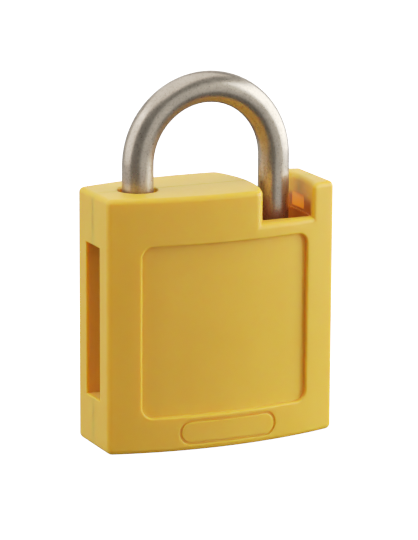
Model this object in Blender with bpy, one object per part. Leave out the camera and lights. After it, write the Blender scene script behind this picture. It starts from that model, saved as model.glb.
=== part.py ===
"""Lockout padlock with a two-part moulded body, a steel shackle and a pin-tumbler lock.

The padlock stands on its flat bottom, origin under the middle of the body, +X to the toe
(opening) side, +Y to the rear, +Z up. It is drawn closed with the bolt drawn back, so the
shackle can lift; turning the plug throws the bolt into the notch of the toe leg. Metres.
"""
import math

import bmesh
import bpy
from mathutils import Vector

MM = 0.001
GAP = 0.3 * MM

# Moulded body
BODY_WIDTH = 50.0 * MM
BODY_HEIGHT = 52.3 * MM
END_THICKNESS = 15.4 * MM
FACE_BULGE = 3.8 * MM
EDGE_RADIUS = 0.8 * MM
FACE_RADIUS = ((BODY_WIDTH / 2) ** 2 + FACE_BULGE ** 2) / (2 * FACE_BULGE)
FACE_STEPS = 20

# Label recess in the front and the rear face
RECESS_HALF_WIDTH = 18.2 * MM
RECESS_LOW = 7.4 * MM
RECESS_HIGH = 42.4 * MM
RECESS_CORNER = 2.2 * MM
RECESS_DEPTH = 1.5 * MM

# Pocket in each end face, and the small one above it in the post beside the toe
END_POCKET_DEPTH = 3.9 * MM
END_POCKET_HALF = 3.5 * MM
END_POCKET_LOW = 10.35 * MM
END_POCKET_HIGH = 41.8 * MM
POST_POCKET_DEPTH = 3.6 * MM
POST_POCKET_HALF = 2.8 * MM
POST_POCKET_LOW = 45.7 * MM
POST_POCKET_HIGH = 48.5 * MM

# Shackle
ROD_RADIUS = 3.2 * MM
HEEL_X = -15.2 * MM
TOE_X = 14.9 * MM
BOW_RADIUS = (TOE_X - HEEL_X) / 2
BOW_CENTRE_Z = 57.1 * MM
HEEL_END = 17.0 * MM
ROD_SIDES = 24
BOW_STEPS = 20
END_CHAMFER = 0.6 * MM
LIFT = 13.6 * MM

# Channel the toe leg swings through, round the heel axis
CHANNEL_INNER = 25.0 * MM
CHANNEL_OUTER = 35.4 * MM
CHANNEL_STEP = 0.4 * MM
LEDGE_TOP = 45.4 * MM
LEDGE_INNER_Y = 7.5 * MM
CHANNEL_FLOOR = 41.8 * MM
LEG_CLEARANCE = 0.9 * MM
TOE_END = LEDGE_TOP + 0.8 * MM - LIFT

# Lock cylinder
PLUG_X = 3.0 * MM
PLUG_RADIUS = 5.0 * MM
PLUG_FACE = 0.6 * MM
PLUG_TOP = 31.4 * MM
PLUG_HEAD_RADIUS = 5.6 * MM
PLUG_HEAD_LOW = 2.6 * MM
PLUG_HEAD_HIGH = 4.0 * MM
KEYWAY_WIDTH = 2.2 * MM
KEYWAY_TOP = 26.5 * MM
KEYWAY_DEEP = 2.6 * MM
KEYWAY_BACK = 3.9 * MM
WARD_WIDTH = 1.2 * MM
WARD_DEPTH = 0.8 * MM
FLOOR_THICKNESS = 2.0 * MM
BARREL_RADIUS = 6.8 * MM
HOUSING_LOW = FLOOR_THICKNESS + GAP
HOUSING_HIGH = 30.0 * MM
TOWER_HALF = 3.0 * MM
TOWER_X = -9.0 * MM

# Pin stacks, at the shear line
PIN_COUNT = 5
PIN_FIRST_Z = 7.5 * MM
PIN_PITCH = 4.0 * MM
PIN_RADIUS = 1.1 * MM
CHAMBER_RADIUS = PIN_RADIUS + GAP
KEY_PIN_LENGTHS = (3.2 * MM, 4.1 * MM, 3.5 * MM, 4.4 * MM, 3.8 * MM)
KEY_PIN_REACH = 4.85 * MM
DRIVER_REACH = 5.5 * MM
DRIVER_LENGTH = 3.0 * MM
SPRING_WIRE = 0.17 * MM
SPRING_RADIUS = 0.85 * MM
SPRING_TURNS = 4
STRIP_THICKNESS = 0.7 * MM
STRIP_HALF = 1.8 * MM

# Circlip, cam, crank pin and bolt
CIRCLIP_THICKNESS = 0.5 * MM
NECK_HIGH = HOUSING_HIGH + CIRCLIP_THICKNESS + 2 * GAP
NECK_RADIUS = 4.0 * MM
CIRCLIP_RADIUS = 5.9 * MM
CIRCLIP_MOUTH = 2.4 * MM
TANG_HALF_LENGTH = 3.2 * MM
TANG_HALF_WIDTH = 1.0 * MM
TANG_TOP = 32.6 * MM
CAM_RADIUS = 4.2 * MM
CAM_LOW = 31.8 * MM
CAM_HIGH = 35.0 * MM
TURN = math.radians(90)
BOLT_THROW = 2.2 * MM
CRANK_ARM = BOLT_THROW / (2 * math.sin(TURN / 2))
CRANK_PIN_RADIUS = 0.9 * MM
CRANK_PIN_LOW = 33.7 * MM
CRANK_PIN_HIGH = 38.9 * MM
BOLT_LOW = 36.2 * MM
BOLT_HIGH = 39.2 * MM
BOLT_HALF = 3.0 * MM
BOLT_TAIL_X = -2.0 * MM
BOLT_NOSE_X = TOE_X - ROD_RADIUS - GAP
CARRIER_HALF = 4.8 * MM
CARRIER_LEFT = -4.0 * MM
CARRIER_RIGHT = 9.9 * MM
CARRIER_LOW = 35.3 * MM
COVER_THICKNESS = 0.8 * MM

# Heel retention
CAVITY_RADIUS = 5.1 * MM
CAVITY_LOW = 15.5 * MM
STOP_RADIUS = 4.8 * MM
STOP_LOW = 34.0 * MM
STOP_HIGH = 36.2 * MM
GROOVE_RADIUS = 2.4 * MM
HEEL_CLIP_RADIUS = 4.6 * MM
HEEL_CLIP_MOUTH = 3.0 * MM
HEEL_CLIP_HIGH = STOP_LOW - GAP - LIFT
HEEL_CLIP_LOW = HEEL_CLIP_HIGH - 1.0 * MM

# Dowels between the shells (x, z) and the pin that holds the cylinder in the body
DOWEL_RADIUS = 1.0 * MM
DOWEL_HALF_LENGTH = 4.5 * MM
DOWEL_PLACES = (
    (-17.5 * MM, 6.0 * MM),
    (17.5 * MM, 5.5 * MM),
    (17.5 * MM, 26.0 * MM),
    (0.0, 46.5 * MM),
    (-22.2 * MM, 47.2 * MM),
)
CROSS_PIN_Z = 16.0 * MM
CROSS_PIN_HALF_LENGTH = 5.0 * MM

NYLON = "yellow_nylon"
STEEL = "stainless_steel"
BRASS = "brass"


def clear_scene():
    """Remove what the file already holds."""
    for found in list(bpy.data.objects):
        bpy.data.objects.remove(found, do_unlink=True)


def material(name, colour, roughness, metallic):
    """A Principled material with a plain colour."""
    made = bpy.data.materials.new(name)
    made.use_nodes = True
    shader = made.node_tree.nodes["Principled BSDF"]
    shader.inputs["Base Color"].default_value = (*colour, 1.0)
    shader.inputs["Roughness"].default_value = roughness
    shader.inputs["Metallic"].default_value = metallic
    return made


def make_materials():
    """The finishes of the moulded body and of the metal parts."""
    return {
        NYLON: material(NYLON, (0.72, 0.47, 0.07), 0.42, 0.0),
        STEEL: material(STEEL, (0.52, 0.50, 0.47), 0.32, 1.0),
        BRASS: material(BRASS, (0.72, 0.53, 0.24), 0.30, 1.0),
    }


def object_from(mesh_data, name):
    """Turn a bmesh into an object, its faces pointing out."""
    bmesh.ops.recalc_face_normals(mesh_data, faces=mesh_data.faces)
    mesh = bpy.data.meshes.new(name)
    mesh_data.to_mesh(mesh)
    mesh_data.free()
    made = bpy.data.objects.new(name, mesh)
    bpy.context.scene.collection.objects.link(made)
    return made


def apply_modifiers(target):
    """Replace the mesh by what its modifiers make of it."""
    graph = bpy.context.evaluated_depsgraph_get()
    mesh = bpy.data.meshes.new_from_object(target.evaluated_get(graph))
    target.modifiers.clear()
    target.data = mesh


def combine(target, other, operation):
    """Boolean of two objects; the second one is used up."""
    step = target.modifiers.new(operation.lower(), "BOOLEAN")
    step.operation = operation
    step.solver = "EXACT"
    step.object = other
    apply_modifiers(target)
    bpy.data.objects.remove(other, do_unlink=True)
    return target


def cut(target, *cutters):
    """Take each cutter out of the target."""
    for cutter in cutters:
        combine(target, cutter, "DIFFERENCE")
    return target


def join(target, *others):
    """Fuse overlapping shapes of one piece."""
    for other in others:
        combine(target, other, "UNION")
    return target


def prism(name, outline, axis, start, end):
    """Extrude a flat outline, given in the two axes other than `axis`, in X, Y, Z order."""
    build = bmesh.new()
    low = []
    for first, second in outline:
        places = {"X": (start, first, second), "Y": (first, start, second), "Z": (first, second, start)}
        low.append(build.verts.new(places[axis]))
    face = build.faces.new(low)
    moved = bmesh.ops.extrude_face_region(build, geom=[face])["geom"]
    rise = {"X": Vector((1, 0, 0)), "Y": Vector((0, 1, 0)), "Z": Vector((0, 0, 1))}[axis] * (end - start)
    bmesh.ops.translate(build, verts=[v for v in moved if isinstance(v, bmesh.types.BMVert)], vec=rise)
    return object_from(build, name)


def box(name, low, high):
    """A rectangular block between two corners."""
    outline = [(low[0], low[1]), (high[0], low[1]), (high[0], high[1]), (low[0], high[1])]
    return prism(name, outline, "Z", low[2], high[2])


def arc(centre, radius, start, end, steps):
    """Points of a circular arc, both ends included; angles in degrees."""
    points = []
    for step in range(steps + 1):
        angle = math.radians(start + (end - start) * step / steps)
        points.append((centre[0] + radius * math.cos(angle), centre[1] + radius * math.sin(angle)))
    return points


def rod(name, axis, centre, radius, start, end, sides=24):
    """A round bar along an axis; `centre` is in the other two axes."""
    return prism(name, arc(centre, radius, 0, 360, sides)[:-1], axis, start, end)


def ring(name, centre, inner, outer, start, end, sides=24):
    """A flat ring round a vertical axis."""
    reach = end - start
    return cut(
        rod(name, "Z", centre, outer, start, end, sides),
        rod("hole", "Z", centre, inner, start - reach, end + reach, sides),
    )


def turned(name, centre, profile, sides=24):
    """A solid of revolution round a vertical axis; `profile` is (radius, z) from bottom to top."""
    build = bmesh.new()
    loops = []
    for radius, height in profile:
        points = arc(centre, radius, 0, 360, sides)[:-1]
        loops.append([build.verts.new((x, y, height)) for x, y in points])
    for below, above in zip(loops, loops[1:]):
        for index in range(sides):
            after = (index + 1) % sides
            build.faces.new((below[index], below[after], above[after], above[index]))
    build.faces.new(loops[0][::-1])
    build.faces.new(loops[-1])
    return object_from(build, name)


def finish(target, finish_material, pivot=None):
    """Give the material, smooth the round faces, and hang a moving piece on its joint's empty."""
    target.data.materials.clear()
    target.data.materials.append(finish_material)
    target.data.shade_smooth()
    target.data.set_sharp_from_angle(angle=math.radians(30))
    if pivot:
        target.parent = pivot
        target.matrix_parent_inverse = pivot.matrix_world.inverted()
    return target


def joint_empty(name, place):
    """An empty on a joint's axis, which carries the moving pieces."""
    made = bpy.data.objects.new(name, None)
    made.location = place
    made.empty_display_size = 5 * MM
    bpy.context.scene.collection.objects.link(made)
    bpy.context.view_layer.update()
    return made


# Moulded body

def face_y(x, inset=0.0):
    """Distance of the bulged face from the middle plane, at a place across the body."""
    radius = FACE_RADIUS - inset
    centre = END_THICKNESS / 2 + FACE_BULGE - FACE_RADIUS
    return centre + math.sqrt(radius ** 2 - x ** 2)


def face_outline(half_width, inset):
    """Plan of the body, or of the body with its two faces moved in."""
    front = []
    for step in range(FACE_STEPS + 1):
        x = half_width * (2 * step / FACE_STEPS - 1)
        front.append((x, -face_y(x, inset)))
    return front + [(x, -y) for x, y in reversed(front)]


def body_blank(name):
    """The whole outer form, with its edges rounded."""
    blank = prism(name, face_outline(BODY_WIDTH / 2, 0.0), "Z", 0.0, BODY_HEIGHT)
    rounding = blank.modifiers.new("rounding", "BEVEL")
    rounding.width = EDGE_RADIUS
    rounding.segments = 2
    rounding.limit_method = "ANGLE"
    rounding.angle_limit = math.radians(30)
    apply_modifiers(blank)
    return blank


def label_recess(side):
    """Cutter of the label recess, its floor parallel to the bulged face."""
    x = RECESS_HALF_WIDTH - RECESS_CORNER
    low = RECESS_LOW + RECESS_CORNER
    high = RECESS_HIGH - RECESS_CORNER
    outline = arc((x, high), RECESS_CORNER, 0, 90, 4) + arc((-x, high), RECESS_CORNER, 90, 180, 4)
    outline += arc((-x, low), RECESS_CORNER, 180, 270, 4) + arc((x, low), RECESS_CORNER, 270, 360, 4)
    window = prism("recess", outline, "Y", 0.0, side * BODY_WIDTH)
    core = prism("core", face_outline(BODY_WIDTH / 2 - GAP, RECESS_DEPTH), "Z", -BODY_HEIGHT, 2 * BODY_HEIGHT)
    return cut(window, core)


def channel(name, inner, outer, low, high, half_depth):
    """Arched channel round the heel axis, cut off square at half_depth in front and behind."""
    centre = (HEEL_X, 0.0)
    wide = math.degrees(math.asin(half_depth / inner))
    narrow = math.degrees(math.asin(half_depth / outer))
    outline = arc(centre, inner, wide, -wide, 12) + arc(centre, outer, -narrow, narrow, 12)
    return prism(name, outline, "Z", low, high)


def end_pockets():
    """Cutters of the pockets in the two end faces."""
    outside = BODY_WIDTH
    half = BODY_WIDTH / 2
    cutters = []
    for side in (-1, 1):
        edges = sorted((side * (half - END_POCKET_DEPTH), side * outside))
        low = (edges[0], -END_POCKET_HALF, END_POCKET_LOW)
        cutters.append(box("end_pocket", low, (edges[1], END_POCKET_HALF, END_POCKET_HIGH)))
    low = (half - POST_POCKET_DEPTH, -POST_POCKET_HALF, POST_POCKET_LOW)
    cutters.append(box("post_pocket", low, (outside, POST_POCKET_HALF, POST_POCKET_HIGH)))
    return cutters


def shackle_cutters():
    """Bores of the heel and the toe leg, and the channel of the toe."""
    top = BODY_HEIGHT * 1.5
    bore = ROD_RADIUS + LEG_CLEARANCE
    return [
        rod("heel_bore", "Z", (HEEL_X, 0.0), bore, STOP_LOW, top),
        rod("heel_cavity", "Z", (HEEL_X, 0.0), CAVITY_RADIUS, CAVITY_LOW, STOP_HIGH + GAP),
        channel("swing", CHANNEL_INNER, CHANNEL_OUTER, LEDGE_TOP, top, END_THICKNESS),
        channel("swing_floor", CHANNEL_INNER + CHANNEL_STEP, CHANNEL_OUTER - CHANNEL_STEP,
                CHANNEL_FLOOR, BODY_HEIGHT, LEDGE_INNER_Y),
        rod("toe_bore", "Z", (TOE_X, 0.0), bore, TOE_END - LEG_CLEARANCE, LEDGE_TOP),
    ]


def lock_cutters():
    """Space for the cylinder, the cam and the bolt, and the hole for the plug's face."""
    pocket = BARREL_RADIUS + GAP
    chamber_top = BOLT_HIGH + COVER_THICKNESS + 2 * GAP
    return [
        rod("barrel_pocket", "Z", (PLUG_X, 0.0), pocket, FLOOR_THICKNESS, HOUSING_HIGH + GAP, 32),
        box("tower_pocket", (TOWER_X - GAP, -TOWER_HALF - GAP, FLOOR_THICKNESS),
            (PLUG_X, TOWER_HALF + GAP, HOUSING_HIGH + GAP)),
        box("cam_space", (CARRIER_LEFT - GAP, -CARRIER_HALF - GAP, HOUSING_HIGH - GAP),
            (CARRIER_RIGHT + GAP, CARRIER_HALF + GAP, chamber_top)),
        rod("circlip_space", "Z", (PLUG_X, 0.0), CIRCLIP_RADIUS + 2 * GAP, HOUSING_HIGH - GAP, CAM_LOW, 32),
        box("bolt_way", (PLUG_X, -BOLT_HALF - GAP, BOLT_LOW - GAP),
            (TOE_X, BOLT_HALF + GAP, BOLT_HIGH + GAP)),
        rod("plug_hole", "Z", (PLUG_X, 0.0), PLUG_RADIUS + GAP, -FLOOR_THICKNESS, 2 * FLOOR_THICKNESS, 32),
    ]


def fastener_cutters():
    """Blind holes of the dowels and of the cylinder's cross pin."""
    hole = DOWEL_RADIUS + GAP
    reach = DOWEL_HALF_LENGTH + GAP
    cutters = [rod("dowel_hole", "Y", place, hole, -reach, reach, 16) for place in DOWEL_PLACES]
    reach = CROSS_PIN_HALF_LENGTH + GAP
    cutters.append(rod("cross_hole", "Y", (cross_pin_x(), CROSS_PIN_Z), hole, -reach, reach, 16))
    return cutters


def cross_pin_x():
    """The cross pin lies partly in the barrel's side."""
    return PLUG_X + BARREL_RADIUS + 0.4 * DOWEL_RADIUS


def make_shell(name, side, nylon):
    """One half of the body: side -1 is the front, +1 the rear."""
    shell = body_blank(name)
    near = side * GAP / 2
    far = -side * BODY_WIDTH
    low = (-BODY_WIDTH, min(near, far), -BODY_HEIGHT)
    cut(shell, box("other_half", low, (BODY_WIDTH, max(near, far), 2 * BODY_HEIGHT)))
    cut(shell, label_recess(side))
    cut(shell, *end_pockets(), *shackle_cutters(), *lock_cutters(), *fastener_cutters())
    return finish(shell, nylon)


# Shackle and its retention

def shackle_path():
    """Centre line from the heel end over the bow to the toe end, with its directions."""
    places = [(HEEL_X, HEEL_END), (HEEL_X, HEEL_CLIP_HIGH + 4 * GAP), (HEEL_X, BODY_HEIGHT)]
    middle = (HEEL_X + TOE_X) / 2
    places += arc((middle, BOW_CENTRE_Z), BOW_RADIUS, 180, 0, BOW_STEPS)
    places += [(TOE_X, BODY_HEIGHT), (TOE_X, TOE_END)]
    return places


def sweep(name, places, radius, sides, chamfer):
    """Round bar along a path in the XZ plane, its two ends chamfered."""
    build = bmesh.new()
    loops = []
    last = len(places) - 1
    for index, (x, z) in enumerate(places):
        before = places[max(index - 1, 0)]
        after = places[min(index + 1, last)]
        along = Vector((after[0] - before[0], 0.0, after[1] - before[1])).normalized()
        across = Vector((along.z, 0.0, -along.x))
        centre = Vector((x, 0.0, z))
        rings = [(centre, radius)]
        if index == 0:
            rings = [(centre, radius - chamfer), (centre + along * chamfer, radius)]
        if index == last:
            rings = [(centre - along * chamfer, radius), (centre, radius - chamfer)]
        for middle, reach in rings:
            points = arc((0.0, 0.0), reach, 0, 360, sides)[:-1]
            loops.append([build.verts.new(middle + across * u + Vector((0, v, 0))) for u, v in points])
    for below, above in zip(loops, loops[1:]):
        for index in range(sides):
            after = (index + 1) % sides
            build.faces.new((below[index], below[after], above[after], above[index]))
    build.faces.new(loops[0][::-1])
    build.faces.new(loops[-1])
    return object_from(build, name)


def make_shackle(steel, pivot):
    """The bent bar, with the clip groove in the heel leg and the bolt notch in the toe leg."""
    bar = sweep("shackle", shackle_path(), ROD_RADIUS, ROD_SIDES, END_CHAMFER)
    groove = ring("groove", (HEEL_X, 0.0), GROOVE_RADIUS, 2 * ROD_RADIUS,
                  HEEL_CLIP_LOW - GAP, HEEL_CLIP_HIGH + GAP)
    notch_x = BOLT_NOSE_X + BOLT_THROW + GAP
    notch = box("notch", (0.0, -2 * ROD_RADIUS, BOLT_LOW - GAP), (notch_x, 2 * ROD_RADIUS, BOLT_HIGH + GAP))
    return finish(cut(bar, groove, notch), steel, pivot)


def make_heel_clip(steel, pivot):
    """Open snap ring in the heel leg's groove, which stops the shackle from coming out."""
    clip = ring("heel_clip", (HEEL_X, 0.0), GROOVE_RADIUS + GAP, HEEL_CLIP_RADIUS,
                HEEL_CLIP_LOW, HEEL_CLIP_HIGH)
    half = HEEL_CLIP_MOUTH / 2
    mouth = box("mouth", (HEEL_X - half, 0.0, 0.0), (HEEL_X + half, BODY_WIDTH, BODY_HEIGHT))
    return finish(cut(clip, mouth), steel, pivot)


def make_heel_stop(steel):
    """Steel bush in the body, which the snap ring comes up against."""
    stop = ring("heel_stop_bush", (HEEL_X, 0.0), ROD_RADIUS + GAP, STOP_RADIUS, STOP_LOW, STOP_HIGH)
    return finish(stop, steel)


# Lock cylinder

def pin_heights():
    """Heights of the pin chambers."""
    return [PIN_FIRST_Z + PIN_PITCH * index for index in range(PIN_COUNT)]


def make_housing(brass):
    """Round barrel with the tower of pin chambers on the heel side."""
    housing = rod("cylinder_housing", "Z", (PLUG_X, 0.0), BARREL_RADIUS, HOUSING_LOW, HOUSING_HIGH, 32)
    tower = box("tower", (TOWER_X, -TOWER_HALF, HOUSING_LOW), (PLUG_X, TOWER_HALF, HOUSING_HIGH))
    join(housing, tower)
    bore = rod("bore", "Z", (PLUG_X, 0.0), PLUG_RADIUS + GAP, 0.0, 2 * HOUSING_HIGH, 32)
    seat = rod("seat", "Z", (PLUG_X, 0.0), PLUG_HEAD_RADIUS + GAP, 0.0, PLUG_HEAD_HIGH + GAP, 32)
    cut(housing, bore, seat)
    for height in pin_heights():
        cut(housing, rod("chamber", "X", (0.0, height), CHAMBER_RADIUS, 2 * TOWER_X, 0.0, 16))
    ends = (pin_heights()[0] - 2 * PIN_RADIUS, pin_heights()[-1] + 2 * PIN_RADIUS)
    slot = box("slot", (2 * TOWER_X, -STRIP_HALF - GAP, ends[0] - GAP),
               (TOWER_X + STRIP_THICKNESS + GAP, STRIP_HALF + GAP, ends[1] + GAP))
    reach = 2 * BARREL_RADIUS
    groove = rod("groove", "Y", (cross_pin_x(), CROSS_PIN_Z), DOWEL_RADIUS + GAP, -reach, reach, 16)
    return finish(cut(housing, slot, groove), brass)


def make_spring_cover(brass):
    """Strip that closes the pin chambers."""
    low = pin_heights()[0] - 2 * PIN_RADIUS
    high = pin_heights()[-1] + 2 * PIN_RADIUS
    strip = box("spring_cover", (TOWER_X, -STRIP_HALF, low), (TOWER_X + STRIP_THICKNESS, STRIP_HALF, high))
    return finish(strip, brass)


def make_pin_stack(index, height, brass, steel, pivot):
    """Key pin in the plug, driver pin and spring in the housing."""
    line = (0.0, height)
    outer = PLUG_X - KEY_PIN_REACH
    key_pin = rod("key_pin_%d" % (index + 1), "X", line, PIN_RADIUS, outer, outer + KEY_PIN_LENGTHS[index], 12)
    finish(key_pin, brass, pivot)
    outer = PLUG_X - DRIVER_REACH - DRIVER_LENGTH
    finish(rod("driver_pin_%d" % (index + 1), "X", line, PIN_RADIUS, outer, outer + DRIVER_LENGTH, 12), steel)
    left = TOWER_X + STRIP_THICKNESS + GAP + SPRING_WIRE
    right = outer - GAP - SPRING_WIRE
    finish(make_spring("pin_spring_%d" % (index + 1), height, left, right), steel)


def make_spring(name, height, left, right):
    """Small coil spring along X, its wire a square-sectioned helix."""
    steps_per_turn = 8
    steps = SPRING_TURNS * steps_per_turn
    build = bmesh.new()
    loops = []
    for step in range(steps + 1):
        angle = 2 * math.pi * step / steps_per_turn
        outward = Vector((0.0, math.cos(angle), math.sin(angle)))
        centre = Vector((left + (right - left) * step / steps, 0.0, height)) + outward * SPRING_RADIUS
        side = Vector((SPRING_WIRE, 0.0, 0.0))
        up = outward * SPRING_WIRE
        loops.append([build.verts.new(centre + corner) for corner in (side, up, -side, -up)])
    for below, above in zip(loops, loops[1:]):
        for index in range(4):
            after = (index + 1) % 4
            build.faces.new((below[index], below[after], above[after], above[index]))
    build.faces.new(loops[0][::-1])
    build.faces.new(loops[-1])
    return object_from(build, name)


def make_plug(brass, pivot):
    """Turned plug: face and head below, clip groove and driving tang on top, keyway and pin holes."""
    edge = 0.4 * MM
    profile = [
        (PLUG_RADIUS - edge, PLUG_FACE), (PLUG_RADIUS, PLUG_FACE + edge),
        (PLUG_RADIUS, PLUG_HEAD_LOW), (PLUG_HEAD_RADIUS, PLUG_HEAD_LOW),
        (PLUG_HEAD_RADIUS, PLUG_HEAD_HIGH), (PLUG_RADIUS, PLUG_HEAD_HIGH),
        (PLUG_RADIUS, HOUSING_HIGH), (NECK_RADIUS, HOUSING_HIGH),
        (NECK_RADIUS, NECK_HIGH), (PLUG_RADIUS, NECK_HIGH),
        (PLUG_RADIUS, PLUG_TOP),
    ]
    plug = turned("plug", (PLUG_X, 0.0), profile, 32)
    tang = box("tang", (PLUG_X - TANG_HALF_LENGTH, -TANG_HALF_WIDTH, PLUG_TOP - 2 * GAP),
               (PLUG_X + TANG_HALF_LENGTH, TANG_HALF_WIDTH, TANG_TOP))
    join(plug, tang)
    half = KEYWAY_WIDTH / 2
    keyway = box("keyway", (PLUG_X - KEYWAY_DEEP, -half, -PLUG_FACE), (PLUG_X + KEYWAY_BACK, half, KEYWAY_TOP))
    ward = box("ward", (PLUG_X, -half - WARD_DEPTH, -PLUG_FACE), (PLUG_X + WARD_WIDTH, 0.0, KEYWAY_TOP))
    cut(plug, keyway, ward)
    for height in pin_heights():
        cut(plug, rod("pin_hole", "X", (0.0, height), CHAMBER_RADIUS, 2 * TOWER_X, PLUG_X, 16))
    return finish(plug, brass, pivot)


def make_circlip(steel, pivot):
    """Open ring on the plug's neck, above the housing."""
    low = HOUSING_HIGH + GAP
    high = low + CIRCLIP_THICKNESS
    clip = ring("plug_circlip", (PLUG_X, 0.0), NECK_RADIUS + GAP, CIRCLIP_RADIUS, low, high, 32)
    half = CIRCLIP_MOUTH / 2
    mouth = box("mouth", (PLUG_X, -half, 0.0), (BODY_WIDTH, half, BODY_HEIGHT))
    return finish(cut(clip, mouth), steel, pivot)


def crank_place():
    """Where the crank pin stands with the bolt drawn back."""
    start = -TURN / 2
    return (PLUG_X + CRANK_ARM * math.sin(start), -CRANK_ARM * math.cos(start))


def make_cam(steel, pivot):
    """Disc that sits on the plug's tang and carries the crank pin."""
    cam = rod("drive_cam", "Z", (PLUG_X, 0.0), CAM_RADIUS, CAM_LOW, CAM_HIGH)
    slot = box("slot", (PLUG_X - 2 * CAM_RADIUS, -TANG_HALF_WIDTH - GAP, PLUG_TOP - GAP),
               (PLUG_X + 2 * CAM_RADIUS, TANG_HALF_WIDTH + GAP, TANG_TOP + GAP))
    hole = rod("hole", "Z", crank_place(), CRANK_PIN_RADIUS + GAP, CRANK_PIN_LOW - GAP, 2 * CAM_HIGH, 16)
    return finish(cut(cam, slot, hole), steel, pivot)


def make_crank_pin(steel, pivot):
    """Eccentric pin that moves the bolt."""
    pin = rod("crank_pin", "Z", crank_place(), CRANK_PIN_RADIUS, CRANK_PIN_LOW, CRANK_PIN_HIGH, 16)
    return finish(pin, steel, pivot)


# Bolt and its carrier

def make_bolt(steel, pivot):
    """Flat bolt with a fork for the crank pin and a chamfered nose."""
    nose = 0.5 * MM
    outline = [
        (BOLT_TAIL_X, -BOLT_HALF), (BOLT_NOSE_X - nose, -BOLT_HALF), (BOLT_NOSE_X, nose - BOLT_HALF),
        (BOLT_NOSE_X, BOLT_HALF - nose), (BOLT_NOSE_X - nose, BOLT_HALF), (BOLT_TAIL_X, BOLT_HALF),
    ]
    bolt = prism("locking_bolt", outline, "Z", BOLT_LOW, BOLT_HIGH)
    x, y = crank_place()
    reach = CRANK_PIN_RADIUS + GAP
    fork = box("fork", (x - reach, -2 * BOLT_HALF, 0.0), (x + reach, y + reach, BODY_HEIGHT))
    return finish(cut(bolt, fork), steel, pivot)


def make_carrier(steel):
    """Folded channel that guides the bolt, open above and at the toe."""
    wall_top = BOLT_HIGH + GAP
    carrier = box("bolt_carrier", (CARRIER_LEFT, -CARRIER_HALF, CARRIER_LOW),
                  (CARRIER_RIGHT, CARRIER_HALF, wall_top))
    way = box("way", (CARRIER_LEFT - GAP, -BOLT_HALF - GAP, BOLT_LOW - GAP),
              (2 * CARRIER_RIGHT, BOLT_HALF + GAP, 2 * wall_top))
    hole_radius = CRANK_ARM + CRANK_PIN_RADIUS + GAP
    hole = rod("hole", "Z", (PLUG_X, 0.0), hole_radius, 0.0, BODY_HEIGHT)
    return finish(cut(carrier, way, hole), steel)


def make_bolt_cover(steel):
    """Plate over the bolt."""
    low = BOLT_HIGH + 2 * GAP
    plate = box("bolt_cover_plate", (CARRIER_LEFT, -CARRIER_HALF, low),
                (CARRIER_RIGHT, CARRIER_HALF, low + COVER_THICKNESS - GAP))
    return finish(plate, steel)


# Fasteners

def make_dowels(steel):
    """The dowels that align and hold the two shells."""
    reach = DOWEL_HALF_LENGTH
    for index, place in enumerate(DOWEL_PLACES):
        finish(rod("shell_dowel_%d" % (index + 1), "Y", place, DOWEL_RADIUS, -reach, reach, 12), steel)


def make_cross_pin(steel):
    """Pin through the shells that keeps the cylinder from being pulled out."""
    reach = CROSS_PIN_HALF_LENGTH
    pin = rod("cylinder_cross_pin", "Y", (cross_pin_x(), CROSS_PIN_Z), DOWEL_RADIUS, -reach, reach, 12)
    return finish(pin, steel)


def main():
    """Build the padlock, closed with the bolt drawn back."""
    clear_scene()
    finishes = make_materials()
    nylon, steel, brass = finishes[NYLON], finishes[STEEL], finishes[BRASS]
    plug_axis = joint_empty("plug_axis", (PLUG_X, 0.0, PLUG_FACE))
    shackle_axis = joint_empty("shackle_axis", (HEEL_X, 0.0, BODY_HEIGHT))
    bolt_axis = joint_empty("bolt_axis", (PLUG_X, 0.0, BOLT_LOW))
    make_shell("front_shell", -1, nylon)
    make_shell("rear_shell", 1, nylon)
    make_dowels(steel)
    make_cross_pin(steel)
    make_housing(brass)
    make_spring_cover(brass)
    make_plug(brass, plug_axis)
    make_circlip(steel, plug_axis)
    for index, height in enumerate(pin_heights()):
        make_pin_stack(index, height, brass, steel, plug_axis)
    make_cam(steel, plug_axis)
    make_crank_pin(steel, plug_axis)
    make_bolt(steel, bolt_axis)
    make_carrier(steel)
    make_bolt_cover(steel)
    make_shackle(steel, shackle_axis)
    make_heel_clip(steel, shackle_axis)
    make_heel_stop(steel)


main()
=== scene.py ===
"""Looks of the lockout padlock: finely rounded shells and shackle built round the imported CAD."""

import math

import bmesh
import bpy
from mathutils import Matrix, Vector


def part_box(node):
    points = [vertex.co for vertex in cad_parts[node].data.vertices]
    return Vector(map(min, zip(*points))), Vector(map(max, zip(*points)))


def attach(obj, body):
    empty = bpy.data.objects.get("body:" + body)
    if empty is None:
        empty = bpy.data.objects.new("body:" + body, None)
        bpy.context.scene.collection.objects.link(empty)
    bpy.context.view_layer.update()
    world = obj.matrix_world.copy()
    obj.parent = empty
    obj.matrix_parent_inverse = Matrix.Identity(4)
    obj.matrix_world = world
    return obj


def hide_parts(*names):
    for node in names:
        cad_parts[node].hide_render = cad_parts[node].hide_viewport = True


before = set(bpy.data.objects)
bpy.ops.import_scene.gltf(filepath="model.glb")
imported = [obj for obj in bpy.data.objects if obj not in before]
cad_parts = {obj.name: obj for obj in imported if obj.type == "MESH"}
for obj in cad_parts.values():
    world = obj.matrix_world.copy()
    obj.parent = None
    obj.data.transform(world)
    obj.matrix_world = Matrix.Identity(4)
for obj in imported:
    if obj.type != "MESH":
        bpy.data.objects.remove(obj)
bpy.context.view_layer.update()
MM = 0.001

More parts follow.
